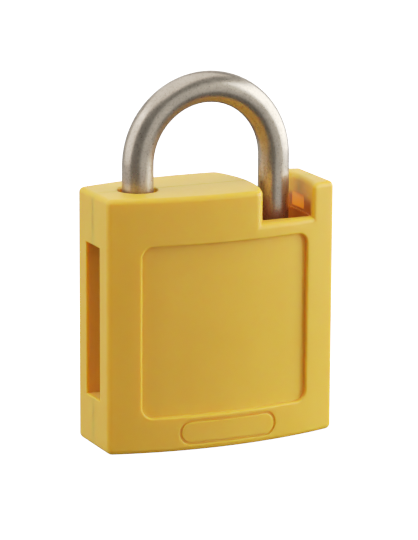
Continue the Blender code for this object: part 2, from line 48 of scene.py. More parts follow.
# The body, from the CAD shells
FRONT_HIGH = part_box("front_shell")[1]
REAR_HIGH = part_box("rear_shell")[1]
HALF_WIDTH = FRONT_HIGH.x
HALF_THICK = REAR_HIGH.y
HEIGHT = FRONT_HIGH.z
FACE_BULGE = 3.8 * MM
FACE_RADIUS = (HALF_WIDTH ** 2 + FACE_BULGE ** 2) / (2 * FACE_BULGE)
FACE_CENTRE = HALF_THICK - FACE_RADIUS
CORNER_RADIUS = 1.3 * MM
CORNER_X = HALF_WIDTH - CORNER_RADIUS
CORNER_REACH = math.sqrt((FACE_RADIUS - CORNER_RADIUS) ** 2 - CORNER_X ** 2)
CORNER_ANGLE = math.atan2(CORNER_X, CORNER_REACH)

# Upright strips of the bulged faces, and how far their lines keep from the edges of the cuts
STRIP_WIDTH = 1.8 * MM
POST_STRIP = 1.9 * MM
KEEP_INNER = 0.35 * MM
KEEP_OUTER = 0.15 * MM
KEEP_OVAL = 0.3 * MM
KEEP_RECESS = 0.2 * MM

# Rounded edges, and the seam between the halves
EDGE_RADIUS = 1.1 * MM
EDGE_STEPS = 6
BEVEL_STEPS = 5
SHARP_ANGLE = math.radians(24)
SMOOTH_ANGLE = math.radians(35)
NOTCH_RADIUS = 1.1 * MM
HOLE_RADIUS = 0.35 * MM
POCKET_RADIUS = 0.18 * MM
RECESS_LIP = 0.45 * MM
RECESS_FILLET = 0.15 * MM
OVAL_LIP = 0.14 * MM
SEAM_HALF = 0.002 * MM
SEAM_BEVEL = 0.12 * MM

# Tidying of the meshes: corners that are one, faces too thin to see, short edges that would fold
WELD = 0.001 * MM
SLIVER = 0.002 * MM
FOLD_MERGE = 0.32 * MM

# Ends of the cutters, outside the body
ABOVE = 1.5 * HEIGHT
OUTSIDE = 2 * HALF_WIDTH

# Label recess and the oval groove below it; the recess is shallower than in the CAD, as in the photo
RECESS_HALF_WIDTH = 18.2 * MM
RECESS_LOW = 7.4 * MM
RECESS_HIGH = 42.4 * MM
RECESS_CORNER = 2.2 * MM
RECESS_STEPS = 8
RECESS_DEPTH = 1.0 * MM
OVAL_HALF_WIDTH = 10.7 * MM
OVAL_LOW = 1.35 * MM
OVAL_HIGH = 6.5 * MM
OVAL_GROOVE = 0.5 * MM
OVAL_DEPTH = 0.35 * MM

# Pockets of the end faces
END_POCKET_DEPTH = 3.9 * MM
END_POCKET_HALF = 3.5 * MM
END_POCKET_LOW = 10.35 * MM
END_POCKET_HIGH = 41.8 * MM
POST_POCKET_DEPTH = 3.4 * MM
POST_POCKET_HALF = 2.8 * MM
POST_POCKET_LOW = 45.7 * MM
POST_POCKET_HIGH = 48.5 * MM

# Shackle, from its CAD box
SHACKLE_LOW, SHACKLE_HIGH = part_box("shackle")
ROD_RADIUS = SHACKLE_HIGH.y
HEEL_X = SHACKLE_LOW.x + ROD_RADIUS
TOE_X = SHACKLE_HIGH.x - ROD_RADIUS
BOW_RADIUS = (TOE_X - HEEL_X) / 2
BOW_CENTRE_Z = SHACKLE_HIGH.z - BOW_RADIUS - ROD_RADIUS
HEEL_END = SHACKLE_LOW.z
TOE_END = 32.6 * MM
ROD_SIDES = 64
ROD_END_RADIUS = 0.7 * MM
ROD_END_STEPS = 4
LEG_STEPS = 24
BOW_STEPS = 72
BOLT_NOTCH_DEPTH = 2.2 * MM
CLIP_GROOVE_RADIUS = 2.4 * MM

# Ways of the two legs; radii of the toe leg's channel are about the heel leg
CHANNEL_INNER = 25.0 * MM
CHANNEL_OUTER = 35.9 * MM
CHANNEL_STEP = 0.4 * MM
CHANNEL_FLAT = 2.0 * MM
LEDGE_TOP = 45.4 * MM
LEDGE_INNER_Y = 7.5 * MM
CHANNEL_FLOOR = 41.8 * MM
LEG_CLEARANCE = 0.9 * MM
CAVITY_RADIUS = 5.1 * MM
CAVITY_LOW = 15.5 * MM

# Inner pieces, from their CAD boxes, and the room that the shells leave round them
GAP = 0.3 * MM
PLUG_LOW, PLUG_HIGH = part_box("plug")
PLUG_X = (PLUG_LOW.x + PLUG_HIGH.x) / 2
PLUG_RADIUS = 5.0 * MM
BARREL_LOW, BARREL_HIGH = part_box("cylinder_housing")
TOWER_HALF = 3.0 * MM
BOLT_LOW, BOLT_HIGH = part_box("locking_bolt")
STOP_LOW, STOP_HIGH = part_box("heel_stop_bush")
CLIP_LOW, CLIP_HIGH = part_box("heel_clip")
CARRIER_LOW, CARRIER_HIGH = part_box("bolt_carrier")
COVER_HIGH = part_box("bolt_cover_plate")[1]
DOWELS = ["shell_dowel_%d" % number for number in range(1, 6)]
KEY_PINS = ["key_pin_%d" % number for number in range(1, 6)]
BRASS_NODES = ["cylinder_housing", "spring_cover", "plug"] + KEY_PINS

# Camera, front left and slightly above; angles in degrees, lens in millimetres
CAMERA_TARGET = Vector((0.598, 0.0, 34.302)) * MM
CAMERA_DISTANCE = 648.17 * MM
CAMERA_YAW = 24.84
CAMERA_PITCH = 13.07
CAMERA_ROLL = 0.30
CAMERA_LENS = 212.67

# Tints of the lights
WHITE = (1.0, 1.0, 1.0)
WARM = (1.0, 0.95, 0.95)

# Shades of the surroundings from straight down, 0, to straight up, 1
SKY = [(0.2, (0.15, 0.143, 0.135)), (0.45, (0.26, 0.25, 0.24)), (0.55, (0.24, 0.234, 0.225))]

# Floor and backdrop, in metres
STAGE_REACH = 3.0
BACKDROP_RADIUS = 4.2
FLOOR_THICK = 0.02
FLOOR_GAP = 0.00002
STAGE_GLOW = 3.0

# Response of the film: light that comes in, and how bright it is in the picture
FILM_BENDS = ((0.3, 0.287), (0.6, 0.515), (1.2, 0.74))
FILM_WHITE = 2.4

# Yellow nylon: colours over its clouds in the open; a darker amber down in the channel and a duller yellow
# in the end pockets, both painted shade; and a painted glow in the channel and, brighter, on its thin wall,
# where light would come through
OPEN_YELLOW = [(0.3, (0.84, 0.464, 0.032)), (0.7, (0.88, 0.486, 0.041))]
CHANNEL_PAINTED_SHADE = [(0.3, (0.46, 0.125, 0.006)), (0.7, (0.50, 0.140, 0.008))]
POCKET_PAINTED_SHADE = (0.76, 0.43, 0.080, 1.0)
CHANNEL_PAINTED_GLOW = (0.055, 0.012, 0.001, 1.0)
THIN_WALL_PAINTED_GLOW = (0.62, 0.16, 0.004, 1.0)

# Where the painted shade and glow lie: lowest corner, highest corner and width of the fading border, in
# millimetres
CHANNEL_SHADE_GLOW_REGION = ((4.0, -6.4, 40.0), (21.2, 6.4, 47.4), (0.2, 1.6, 1.8))
THIN_WALL_GLOW_REGION = ((19.0, -2.4, 46.1), (21.2, 2.4, 48.4), (0.2, 0.5, 0.5))
POCKET_SHADE_REGION = ((20.0, -3.6, 10.0), (24.2, 3.6, 42.0), (0.3, 0.1, 0.3))

# Metals
SHACKLE_COLOUR = (0.41, 0.364, 0.296)
PLAIN_COLOUR = (0.62, 0.62, 0.62)
STAIN_SHADE = 0.84
SPECKS = [(0.30, (0.66, 0.65, 0.64)), (0.50, WHITE)]
BRASS_TARNISH = [(0.35, (0.58, 0.40, 0.15)), (0.65, (0.78, 0.56, 0.24))]


# Shapes

def object_from(build, name):
    """Turn a bmesh into an object, its faces pointing out."""
    bmesh.ops.recalc_face_normals(build, faces=build.faces)
    mesh = bpy.data.meshes.new(name)
    build.to_mesh(mesh)
    build.free()
    made = bpy.data.objects.new(name, mesh)
    bpy.context.scene.collection.objects.link(made)
    return made


def apply_modifiers(target):
    """Replace the mesh by what its modifiers make of it."""
    graph = bpy.context.evaluated_depsgraph_get()
    mesh = bpy.data.meshes.new_from_object(target.evaluated_get(graph))
    target.modifiers.clear()
    target.data = mesh


def cut(target, *cutters):
    """Take each cutter out of the target; the cutters are used up."""
    for cutter in cutters:
        step = target.modifiers.new("cut", "BOOLEAN")
        step.operation = "DIFFERENCE"
        step.solver = "EXACT"
        step.object = cutter
        apply_modifiers(target)
        bpy.data.objects.remove(cutter, do_unlink=True)
    return target


def arc(centre, radius, start, end, steps):
    """Points of a circular arc, both ends included; angles in degrees."""
    points = []
    for step in range(steps + 1):
        angle = math.radians(start + (end - start) * step / steps)
        points.append((centre[0] + radius * math.cos(angle), centre[1] + radius * math.sin(angle)))
    return points


def loft(name, loops):
    """Closed solid through loops of the same number of points."""
    build = bmesh.new()
    rings = [[build.verts.new(point) for point in loop] for loop in loops]
    count = len(rings[0])
    for below, above in zip(rings, rings[1:]):
        for index in range(count):
            after = (index + 1) % count
            build.faces.new((below[index], below[after], above[after], above[index]))
    build.faces.new(rings[0][::-1])
    build.faces.new(rings[-1])
    return object_from(build, name)


def prism(name, outline, axis, start, end):
    """Extrude an outline along Y, its points (x, z), or along Z, its points (x, y)."""
    loops = []
    for height in (start, end):
        loops.append([(a, height, b) if axis == "Y" else (a, b, height) for a, b in outline])
    return loft(name, loops)


def box(name, low, high):
    """A rectangular block between two corners."""
    outline = [(low[0], low[1]), (high[0], low[1]), (high[0], high[1]), (low[0], high[1])]
    return prism(name, outline, "Z", low[2], high[2])


def rod(name, axis, centre, radius, start, end, sides=ROD_SIDES):
    """A round bar along Y or Z; `centre` is in the other two axes."""
    return prism(name, arc(centre, radius, 0, 360, sides)[:-1], axis, start, end)


def stadium(half_width, low, high, steps=16):
    """Outline with straight top and bottom and half-round ends, in X and Z."""
    radius = (high - low) / 2
    middle = (low + high) / 2
    x = half_width - radius
    return arc((x, middle), radius, -90, 90, steps) + arc((-x, middle), radius, 90, 270, steps)


def round_cornered(x, low, high, radius, steps):
    """Outline with round corners, in X and Z; x, low and high place the centres of the corners."""
    outline = []
    for start, place in ((0, (x, high)), (90, (-x, high)), (180, (-x, low)), (270, (x, low))):
        outline += arc(place, radius, start, start + 90, steps)
    return outline


# Shells

def face_y(x, inset=0.0):
    """Distance of the bulged face from the middle plane."""
    return FACE_CENTRE + math.sqrt((FACE_RADIUS - inset) ** 2 - x ** 2)


def way_out(radius):
    """X where a channel wall of this radius comes out of the bulged face, found by closing in on it."""
    rounds = 30
    x = HEEL_X + radius
    for _ in range(rounds):
        x = HEEL_X + math.sqrt(radius ** 2 - face_y(x) ** 2)
    return x


def face_grid():
    """X of the upright lines of the faces, kept off the upright edges of the cuts, on their open side."""
    inner = way_out(CHANNEL_INNER) + KEEP_INNER
    oval = OVAL_HALF_WIDTH + KEEP_OVAL
    recess = RECESS_HALF_WIDTH - RECESS_CORNER - KEEP_RECESS
    outer = way_out(CHANNEL_OUTER) - KEEP_OUTER
    corner = FACE_RADIUS * math.sin(CORNER_ANGLE)
    half = [inner, oval, recess, outer, outer + POST_STRIP, corner]
    keys = [-x for x in reversed(half)] + half
    grid = [keys[0]]
    for low, high in zip(keys, keys[1:]):
        steps = round((high - low) / STRIP_WIDTH) if high - low > 2 * STRIP_WIDTH else 1
        grid += [low + (high - low) * (step + 1) / steps for step in range(steps)]
    return grid


FACE_GRID = face_grid()


def body_blank(name):
    """Outer form with rounded upright corners; its top and bottom edges are rounded later."""
    slope = math.degrees(CORNER_ANGLE)
    corner_y = -(FACE_CENTRE + CORNER_REACH)
    left = arc((-CORNER_X, corner_y), CORNER_RADIUS, 180, 270 - slope, EDGE_STEPS)
    right = arc((CORNER_X, corner_y), CORNER_RADIUS, 270 + slope, 360, EDGE_STEPS)
    front = left + [(x, -face_y(x)) for x in FACE_GRID[1:-1]] + right
    return prism(name, front + [(x, -y) for x, y in reversed(front)], "Z", 0.0, HEIGHT)


def face_core(depth):
    """Solid whose front and rear faces lie `depth` under the bulged faces."""
    front = [(x, -face_y(x, depth)) for x in FACE_GRID]
    outline = front + [(x, -y) for x, y in reversed(front)]
    return prism("core", outline, "Z", -HEIGHT, 2 * HEIGHT)


def silhouette(inset):
    """Outline of the body from the front, moved in by `inset`."""
    x = HALF_WIDTH - EDGE_RADIUS
    return round_cornered(x, EDGE_RADIUS, HEIGHT - EDGE_RADIUS, EDGE_RADIUS - inset, EDGE_STEPS)


def seam_bevel(side):
    """Cutter that breaks the edge of the joint face along the top."""
    # The slanted face runs past both of its ends by a share of its width
    thick = side * SEAM_BEVEL
    past = 0.2
    through = 1 + past
    loops = []
    for y, inset in ((through * thick, -past * SEAM_BEVEL), (-past * thick, through * SEAM_BEVEL)):
        loops.append([(x, y, z) for x, z in silhouette(inset)])
    low, high = sorted((thick, -thick))
    reach = HALF_WIDTH - EDGE_RADIUS
    around = box("seam", (-reach, low, HEIGHT / 2), (reach, high, 2 * HEIGHT))
    return cut(around, loft("inside", loops))


def label_recess(side):
    """Cutter of the label recess, its floor parallel to the bulged face."""
    x = RECESS_HALF_WIDTH - RECESS_CORNER
    low = RECESS_LOW + RECESS_CORNER
    high = RECESS_HIGH - RECESS_CORNER
    outline = round_cornered(x, low, high, RECESS_CORNER, RECESS_STEPS)
    window = prism("recess", outline, "Y", 0.0, side * OUTSIDE)
    return cut(window, face_core(RECESS_DEPTH))


def oval_groove(side):
    """Cutter of the plain oval line below the recess."""
    outer = prism("oval", stadium(OVAL_HALF_WIDTH, OVAL_LOW, OVAL_HIGH), "Y", 0.0, side * OUTSIDE)
    inside = stadium(OVAL_HALF_WIDTH - OVAL_GROOVE, OVAL_LOW + OVAL_GROOVE, OVAL_HIGH - OVAL_GROOVE)
    beyond = 3 * HALF_WIDTH
    inner = prism("inner", inside, "Y", -beyond, beyond)
    return cut(outer, inner, face_core(OVAL_DEPTH))


def channel_wall(radius, steps=32):
    """Arc about the heel axis with one flat stretch where it comes out of each bulged face."""
    middle = math.degrees(math.atan2(face_y(way_out(radius)), way_out(radius) - HEEL_X))
    # Outside the body the wall runs on in one long chord
    flat = math.degrees(CHANNEL_FLAT / radius)
    past = 5 * flat
    inside = arc((HEEL_X, 0.0), radius, flat - middle, middle - flat, steps)
    before = arc((HEEL_X, 0.0), radius, -middle - past, -middle - flat, 1)
    after = arc((HEEL_X, 0.0), radius, middle + flat, middle + past, 1)
    return before + inside + after


def swing_channel():
    """Cutter of the arched channel above the ledges, open to the front, the rear and the top."""
    outline = channel_wall(CHANNEL_INNER)[::-1] + channel_wall(CHANNEL_OUTER)
    return prism("swing", outline, "Z", LEDGE_TOP, ABOVE)


def deep_channel(steps=24):
    """Cutter of the deeper pocket between the ledges."""
    centre = (HEEL_X, 0.0)
    inner = CHANNEL_INNER + CHANNEL_STEP
    outer = CHANNEL_OUTER - CHANNEL_STEP
    wide = math.degrees(math.asin(LEDGE_INNER_Y / inner))
    narrow = math.degrees(math.asin(LEDGE_INNER_Y / outer))
    outline = arc(centre, inner, wide, -wide, steps) + arc(centre, outer, -narrow, narrow, steps)
    return prism("deep", outline, "Z", CHANNEL_FLOOR, HEIGHT)


def end_pockets():
    """Cutters of the pockets in the two end faces."""
    floor = HALF_WIDTH - END_POCKET_DEPTH
    half = END_POCKET_HALF
    return [
        box("left", (-OUTSIDE, -half, END_POCKET_LOW), (-floor, half, END_POCKET_HIGH)),
        box("right", (floor, -half, END_POCKET_LOW), (OUTSIDE, half, END_POCKET_HIGH)),
        box("post", (HALF_WIDTH - POST_POCKET_DEPTH, -POST_POCKET_HALF, POST_POCKET_LOW),
            (OUTSIDE, POST_POCKET_HALF, POST_POCKET_HIGH)),
    ]


def shackle_ways():
    """Cutters of the leg bores and of the toe leg's channel."""
    bore = ROD_RADIUS + LEG_CLEARANCE
    return [
        rod("heel_bore", "Z", (HEEL_X, 0.0), bore, STOP_LOW.z, ABOVE),
        rod("heel_cavity", "Z", (HEEL_X, 0.0), CAVITY_RADIUS, CAVITY_LOW, STOP_HIGH.z + GAP),
        swing_channel(),
        deep_channel(),
        rod("toe_bore", "Z", (TOE_X, 0.0), bore, TOE_END - LEG_CLEARANCE, LEDGE_TOP),
    ]


def lock_space():
    """Cutters of the inner space that holds the lock, and of the plug's hole in the bottom."""
    barrel = (BARREL_HIGH.y - BARREL_LOW.y) / 2 + GAP
    low = BARREL_LOW.z - GAP
    high = BARREL_HIGH.z + GAP
    tower = TOWER_HALF + GAP
    wide = BOLT_HIGH.y + GAP
    return [
        rod("barrel", "Z", (PLUG_X, 0.0), barrel, low, high),
        box("tower", (BARREL_LOW.x - GAP, -tower, low), (PLUG_X, tower, high)),
        box("cam", (CARRIER_LOW.x - GAP, CARRIER_LOW.y - GAP, high - 2 * GAP),
            (CARRIER_HIGH.x + GAP, CARRIER_HIGH.y + GAP, COVER_HIGH.z + GAP)),
        rod("circlip", "Z", (PLUG_X, 0.0), barrel - 2 * GAP, high - 2 * GAP, high + 5 * GAP),
        box("bolt", (PLUG_X, -wide, BOLT_LOW.z - GAP), (TOE_X, wide, BOLT_HIGH.z + GAP)),
        rod("plug_hole", "Z", (PLUG_X, 0.0), PLUG_RADIUS + GAP, -HEIGHT, 2 * low),
    ]


def pin_holes():
    """Cutters of the blind holes for the dowels and the cylinder's cross pin."""
    holes = []
    for node in DOWELS + ["cylinder_cross_pin"]:
        low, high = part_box(node)
        middle = (low + high) / 2
        radius = (high.x - low.x) / 2 + GAP
        place = (middle.x, middle.z)
        holes.append(rod(node + "_hole", "Y", place, radius, low.y - GAP, high.y + GAP, sides=32))
    return holes


def lip_radius(place):
    """How round the moulded edge at this place is; 0 keeps it sharp."""
    x, y, z = place
    close = 0.1 * MM
    from_heel = math.hypot(x - HEEL_X, y)
    on_wall = min(abs(from_heel - CHANNEL_INNER), abs(from_heel - CHANNEL_OUTER)) < close
    under_skin = face_y(min(abs(x), HALF_WIDTH)) - abs(y)
    # The joint face
    if abs(y) < 2 * SEAM_HALF:
        return 0.0
    # The top, with the channel and the heel leg's hole
    if z > HEIGHT - close:
        if on_wall:
            return NOTCH_RADIUS
        return HOLE_RADIUS if from_heel < 2 * ROD_RADIUS else EDGE_RADIUS
    # The bottom, with the plug's hole
    if z < close:
        return HOLE_RADIUS if math.hypot(x - PLUG_X, y) < 1.5 * PLUG_RADIUS else EDGE_RADIUS
    # The ledges and the walls of the channel
    if abs(z - LEDGE_TOP) < close:
        return NOTCH_RADIUS if under_skin < close else 0.0
    if z > LEDGE_TOP and on_wall:
        return NOTCH_RADIUS
    # The pockets of the end faces
    if abs(x) > HALF_WIDTH - close:
        return POCKET_RADIUS
    # The label recess and the oval groove
    if abs(x) < RECESS_HALF_WIDTH + close and z > RECESS_LOW - close and under_skin < 2 * RECESS_DEPTH:
        return RECESS_LIP if under_skin < RECESS_DEPTH / 2 else RECESS_FILLET
    if z < OVAL_HIGH + close and under_skin < OVAL_DEPTH / 2:
        return OVAL_LIP
    return 0.0


def round_lips(shell):
    """Round the moulded edges, each by its own radius."""
    build = bmesh.new()
    build.from_mesh(shell.data)
    bmesh.ops.remove_doubles(build, verts=build.verts, dist=WELD)
    weights = build.edges.layers.float.new("bevel_weight_edge")
    for edge in build.edges:
        if len(edge.link_faces) == 2 and edge.calc_face_angle(0.0) > SHARP_ANGLE:
            middle = (edge.verts[0].co + edge.verts[1].co) / 2
            edge[weights] = lip_radius(middle) / EDGE_RADIUS
    build.to_mesh(shell.data)
    build.free()
    bevel = shell.modifiers.new("lips", "BEVEL")
    bevel.limit_method = "WEIGHT"
    bevel.width = EDGE_RADIUS
    bevel.segments = BEVEL_STEPS
    bevel.use_clamp_overlap = False
    bevel.loop_slide = True
    apply_modifiers(shell)


def on_fold(place):
    """Whether a corner lies where rounded lips run together: on a ledge, or on the tip of the post's top."""
    close = 0.01 * MM
    tip = way_out(CHANNEL_OUTER) + EDGE_RADIUS
    on_tip = abs(place.z - HEIGHT) < close and abs(place.x - tip) < EDGE_RADIUS / 2
    return on_tip or abs(place.z - LEDGE_TOP) < close


def drop_slivers(piece):
    """Merge what is too small to see or folds over itself, and split faces with many corners."""
    build = bmesh.new()
    build.from_mesh(piece.data)
    bmesh.ops.dissolve_degenerate(build, edges=build.edges, dist=SLIVER)
    flat = {vert for vert in build.verts if on_fold(vert.co)}
    short = [edge for edge in build.edges if flat.issuperset(edge.verts) and edge.calc_length() < FOLD_MERGE]
    bmesh.ops.collapse(build, edges=short)
    many = [face for face in build.faces if len(face.verts) > 4]
    bmesh.ops.triangulate(build, faces=many)
    build.to_mesh(piece.data)
    build.free()


def shade(piece):
    """Shade smooth up to an angle."""
    piece.data.shade_smooth()
    piece.data.set_sharp_from_angle(angle=SMOOTH_ANGLE)


def let_big_faces_lead(piece):
    """Turn the shading of the rounded edges to that of the big faces beside them."""
    weighted = piece.modifiers.new("normals", "WEIGHTED_NORMAL")
    weighted.keep_sharp = True
    weighted.weight = 80
    apply_modifiers(piece)


def make_shell(name, node, side, finish):
    """One finely rounded half of the body; side -1 is the front, +1 the rear."""
    shell = body_blank(name)
    near = side * SEAM_HALF
    far = -side * OUTSIDE
    cut(shell, box("other", (-HEIGHT, min(near, far), -HEIGHT), (HEIGHT, max(near, far), 2 * HEIGHT)))
    cut(shell, label_recess(side))
    if side < 0:
        cut(shell, oval_groove(side))
    cut(shell, *end_pockets(), *shackle_ways(), *lock_space(), *pin_holes())
    round_lips(shell)
    cut(shell, seam_bevel(side))
    drop_slivers(shell)
    shade(shell)
    let_big_faces_lead(shell)
    dress(shell, finish, "root")
    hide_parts(node)


def dress(piece, finish, body):
    """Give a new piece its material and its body."""
    piece.data.materials.clear()
    piece.data.materials.append(finish)
    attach(piece, body)


# Shackle

def shackle_path():
    """Centre line from the heel end over the bow to the toe end, as (x, z)."""
    middle = (HEEL_X + TOE_X) / 2
    rise = (BOW_CENTRE_Z - HEEL_END) / LEG_STEPS
    fall = (BOW_CENTRE_Z - TOE_END) / LEG_STEPS
    places = [(HEEL_X, HEEL_END + rise * step) for step in range(LEG_STEPS)]
    places += arc((middle, BOW_CENTRE_Z), BOW_RADIUS, 180, 0, BOW_STEPS)
    places += [(TOE_X, BOW_CENTRE_Z - fall * (step + 1)) for step in range(LEG_STEPS)]
    return places


def rounded_end(inward):
    """Rings of a rounded end, as (shift along the rod, radius); inward is 1 at the start, -1 at the end."""
    rings = []
    for step in range(ROD_END_STEPS + 1):
        angle = math.pi / 2 * step / ROD_END_STEPS
        shift = inward * ROD_END_RADIUS * (1 - math.sin(angle))
        rings.append((shift, ROD_RADIUS - ROD_END_RADIUS * (1 - math.cos(angle))))
    return rings[::-inward]


def rod_loops(places):
    """Circles across the centre line, with a rounded end at either side."""
    last = len(places) - 1
    ends = {0: rounded_end(1), last: rounded_end(-1)}
    loops = []
    for index, (x, z) in enumerate(places):
        before = places[max(index - 1, 0)]
        after = places[min(index + 1, last)]
        along = Vector((after[0] - before[0], 0.0, after[1] - before[1])).normalized()
        across = Vector((along.z, 0.0, -along.x))
        for shift, radius in ends.get(index, [(0.0, ROD_RADIUS)]):
            centre = Vector((x, 0.0, z)) + along * shift
            circle = arc((0.0, 0.0), radius, 0, 360, ROD_SIDES)[:-1]
            loops.append([centre + across * u + Vector((0.0, v, 0.0)) for u, v in circle])
    return loops


def make_shackle(finish):
    """Bent rod with the clip groove and the bolt notch."""
    shackle = loft("shackle_rod", rod_loops(shackle_path()))
    wide = 2 * ROD_RADIUS
    groove = rod("groove", "Z", (HEEL_X, 0.0), wide, CLIP_LOW.z - GAP, CLIP_HIGH.z + GAP)
    cut(groove, rod("core", "Z", (HEEL_X, 0.0), CLIP_GROOVE_RADIUS, HEEL_END, HEIGHT))
    notch_x = TOE_X - ROD_RADIUS + BOLT_NOTCH_DEPTH
    notch = box("notch", (0.0, -wide, BOLT_LOW.z - GAP), (notch_x, wide, BOLT_HIGH.z + GAP))
    cut(shackle, groove, notch)
    shade(shackle)
    dress(shackle, finish, "shackle")
    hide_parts("shackle")


# Materials

def new_material(name):
    """A node material, its tree and its shader."""
    made = bpy.data.materials.new(name)
    made.use_nodes = True
    return made, made.node_tree, made.node_tree.nodes["Principled BSDF"]


def add(tree, kind, **settings):
    """A node with its properties set."""
    node = tree.nodes.new(kind)
    for key, value in settings.items():
        setattr(node, key, value)
    return node


def noise(tree, scale, detail, roughness=0.5, stretch=(1.0, 1.0, 1.0)):
    """Noise in object coordinates, in cycles per metre, and its factor output."""
    where = add(tree, "ShaderNodeTexCoord")
    mapping = add(tree, "ShaderNodeMapping")
    mapping.inputs["Scale"].default_value = stretch
    field = add(tree, "ShaderNodeTexNoise")
    field.inputs["Scale"].default_value = scale
    field.inputs["Detail"].default_value = detail
    field.inputs["Roughness"].default_value = roughness
    tree.links.new(where.outputs["Object"], mapping.inputs["Vector"])
    tree.links.new(mapping.outputs["Vector"], field.inputs["Vector"])
    return field.outputs["Fac"]


def ramp(tree, source, stops):
    """Colour ramp from (position, colour) stops."""
    node = add(tree, "ShaderNodeValToRGB")
    points = node.color_ramp.elements
    while len(points) < len(stops):
        points.new(0.5)
    for point, (position, colour) in zip(points, stops):
        point.position = position
        point.color = (*colour, 1.0)
    tree.links.new(source, node.inputs["Fac"])
    return node.outputs["Color"]


def spread(tree, source, low, high):
    """Map a 0 to 1 factor to a range."""
    node = add(tree, "ShaderNodeMapRange")
    node.inputs["To Min"].default_value = low
    node.inputs["To Max"].default_value = high
    tree.links.new(source, node.inputs["Value"])
    return node.outputs["Result"]


def bump(tree, shader, *layers):
    """Stack bumps, each (height, distance in metres, strength)."""
    normal = None
    for height, distance, strength in layers:
        node = add(tree, "ShaderNodeBump")
        node.inputs["Distance"].default_value = distance
        node.inputs["Strength"].default_value = strength
        tree.links.new(height, node.inputs["Height"])
        if normal:
            tree.links.new(normal, node.inputs["Normal"])
        normal = node.outputs["Normal"]
    tree.links.new(normal, shader.inputs["Normal"])


def blend(tree, factor, first, second, kind="MIX"):
    """Mix two colours, each a socket or a fixed colour, by a socket or a number."""
    node = add(tree, "ShaderNodeMix", data_type="RGBA", blend_type=kind)
    for name, value in (("Factor", factor), ("A", first), ("B", second)):
        if isinstance(value, bpy.types.NodeSocket):
            tree.links.new(value, node.inputs[name])
        else:
            node.inputs[name].default_value = value
    return node.outputs["Result"]


def times(tree, first, second):
    """Product of two factors."""
    node = add(tree, "ShaderNodeMath", operation="MULTIPLY")
    tree.links.new(first, node.inputs[0])
    tree.links.new(second, node.inputs[1])
    return node.outputs["Value"]


def fade(tree, source, start, end):
    """Smooth rise from 0, where the source is at the start, to 1 at the end."""
    node = add(tree, "ShaderNodeMapRange", interpolation_type="SMOOTHSTEP")
    node.inputs["From Min"].default_value = start
    node.inputs["From Max"].default_value = end
    tree.links.new(source, node.inputs["Value"])
    return node.outputs["Result"]


def band(tree, source, low, high, blur):
    """1 where the source lies between low and high, fading to 0 over the blur."""
    return times(tree, fade(tree, source, low - blur, low), fade(tree, source, high + blur, high))


def block(tree, region, both_ends=False):
    """1 inside a region in object space, fading to 0 round it; with its mirror image in X for both ends."""
    where = add(tree, "ShaderNodeTexCoord")
    parts = add(tree, "ShaderNodeSeparateXYZ")
    tree.links.new(where.outputs["Object"], parts.inputs["Vector"])
    places = [parts.outputs[axis] for axis in "XYZ"]
    if both_ends:
        size = add(tree, "ShaderNodeMath", operation="ABSOLUTE")
        tree.links.new(places[0], size.inputs[0])
        places[0] = size.outputs["Value"]
    bands = []
    for place, low, high, blur in zip(places, *region):
        bands.append(band(tree, place, low * MM, high * MM, blur * MM))
    across = times(tree, bands[0], bands[1])
    return times(tree, across, bands[2])


def nylon_colour_with_painted_shade(tree, deep):
    """Slightly clouded yellow, with painted shade: a duller yellow in the end pockets and a darker amber
    down in the channel.
    """
    cloud = noise(tree, 60.0, 3.0)
    # Painted shade: a duller yellow in the end pockets
    pocket_shade = block(tree, POCKET_SHADE_REGION, both_ends=True)
    yellow = blend(tree, pocket_shade, ramp(tree, cloud, OPEN_YELLOW), POCKET_PAINTED_SHADE)
    # Painted shade: darker amber down in the channel
    return blend(tree, deep, yellow, ramp(tree, cloud, CHANNEL_PAINTED_SHADE))


def nylon():
    """Satin moulded nylon, slightly translucent, with painted shade and a faint painted glow down in the
    channel, and a brighter painted glow on the channel's thin wall, where light would come through.
    """
    made, tree, shader = new_material("moulded_nylon")
    # Mask down in the channel: painted shade in the colour and a faint painted glow in the emission
    deep = block(tree, CHANNEL_SHADE_GLOW_REGION)
    # Painted glow: faint down in the channel, brighter on the thin wall where light would come through
    painted_glow = blend(tree, block(tree, THIN_WALL_GLOW_REGION), CHANNEL_PAINTED_GLOW, THIN_WALL_PAINTED_GLOW)
    tree.links.new(nylon_colour_with_painted_shade(tree, deep), shader.inputs["Base Color"])
    tree.links.new(painted_glow, shader.inputs["Emission Color"])
    tree.links.new(deep, shader.inputs["Emission Strength"])
    tree.links.new(spread(tree, noise(tree, 700.0, 4.0), 0.36, 0.46), shader.inputs["Roughness"])
    shader.inputs["Subsurface Weight"].default_value = 1.0
    shader.inputs["Subsurface Radius"].default_value = (1.0, 0.70, 0.20)
    shader.inputs["Subsurface Scale"].default_value = 0.0018
    shader.inputs["IOR"].default_value = 1.5
    shader.inputs["Specular IOR Level"].default_value = 0.38
    grain = noise(tree, 9000.0, 2.0)
    wave = noise(tree, 90.0, 2.0)
    bump(tree, shader, (wave, 0.0002, 0.25), (grain, 0.00002, 0.30))
    return made


